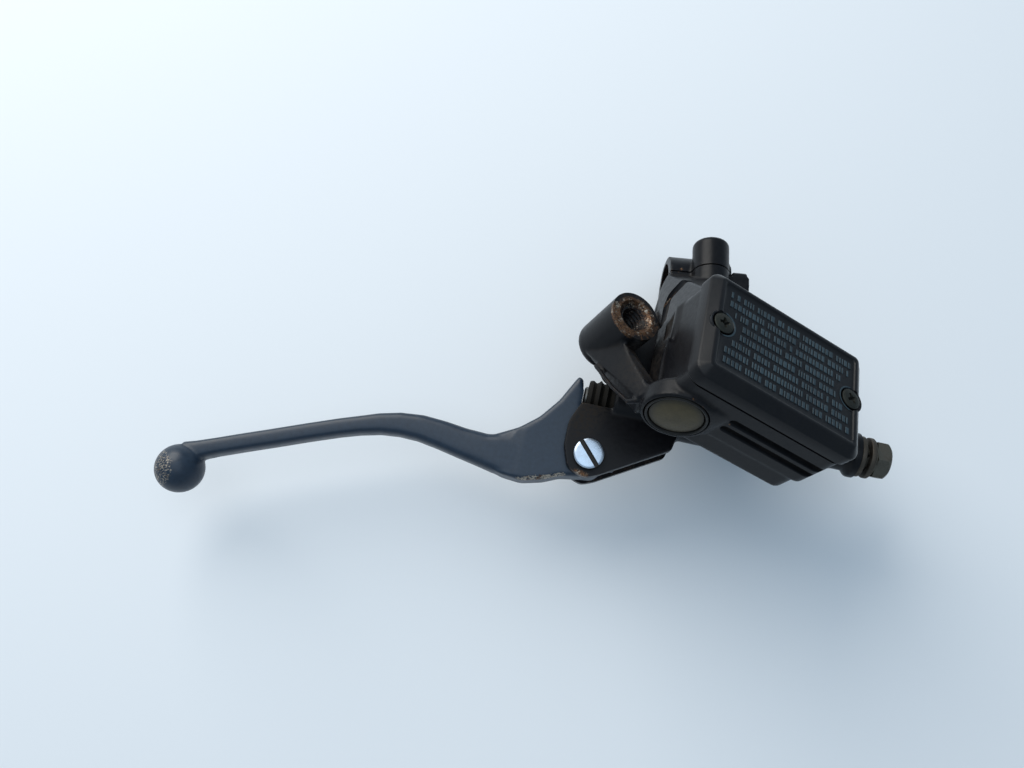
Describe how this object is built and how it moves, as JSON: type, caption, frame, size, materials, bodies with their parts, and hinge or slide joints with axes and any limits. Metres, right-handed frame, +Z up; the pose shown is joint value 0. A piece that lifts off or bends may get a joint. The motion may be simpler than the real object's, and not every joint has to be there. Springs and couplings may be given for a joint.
{
  "type": "brake master cylinder",
  "caption": "Motorcycle front brake master cylinder with slanted fluid reservoir, handlebar clamp and hinged hand lever.",
  "frame": {"origin": "handlebar axis at the middle of the clamp", "axes": "+X inboard along the cylinder bore, +Y towards the rider in the lever's plane, +Z up along the lever's pivot"},
  "size_m": [0.2863, 0.151, 0.1081],
  "materials": {
    "black_casting": "semi-gloss black paint over cast aluminium, dusty and a little chipped",
    "black_lever": "satin black paint, worn at the corners",
    "black_plastic": "moulded black plastic",
    "zinc": "bright zinc plate",
    "dark_steel": "dull plated steel with light rust",
    "alloy": "anodised aluminium",
    "brass": "plain sintered brass",
    "washer": "dull copper",
    "rubber": "matt black rubber",
    "lens": "aged clear plastic over brown fluid"
  },
  "bodies": {
    "housing": {"body": "black_casting", "cap": "black_plastic", "cap_screw_outer": "zinc", "cap_screw_inner": "zinc", "diaphragm_plate": "black_plastic", "diaphragm": "rubber", "port_baffle": "black_plastic", "sight_lens": "lens", "sight_ring": "black_plastic", "holder": "black_casting", "clamp_bolt_upper": "dark_steel", "clamp_bolt_lower": "dark_steel", "pivot_bolt": "zinc", "pivot_nut": "zinc", "return_spring": "zinc", "stop_washer": "zinc", "circlip": "dark_steel", "dust_boot": "rubber", "union_bolt": "dark_steel", "washer_body_side": "washer", "washer_head_side": "washer"},
    "hand_lever": {"lever": "black_lever", "pivot_bush": "brass"},
    "piston_group": {"piston": "alloy", "primary_cup": "rubber", "secondary_cup": "rubber"}
  },
  "joints": [
    {"name": "lever_pivot", "type": "hinge", "parent": "housing", "child": "hand_lever", "pos_m": [-0.0352, -0.0847, 0.0087], "axis": [0, 0, -1], "range_deg": [0, 16], "stiffness_Nm_per_rad": 2, "springref_deg": -8.59},
    {"name": "piston_slide", "type": "slide", "parent": "housing", "child": "piston_group", "axis": [1, 0, 0], "range_m": [0, 0.00768], "deforming": ["return_spring", "dust_boot"]}
  ],
  "couplings": [
    {"joint": "piston_slide", "follows": "lever_pivot", "m_per_rad": 0.0275}
  ]
}
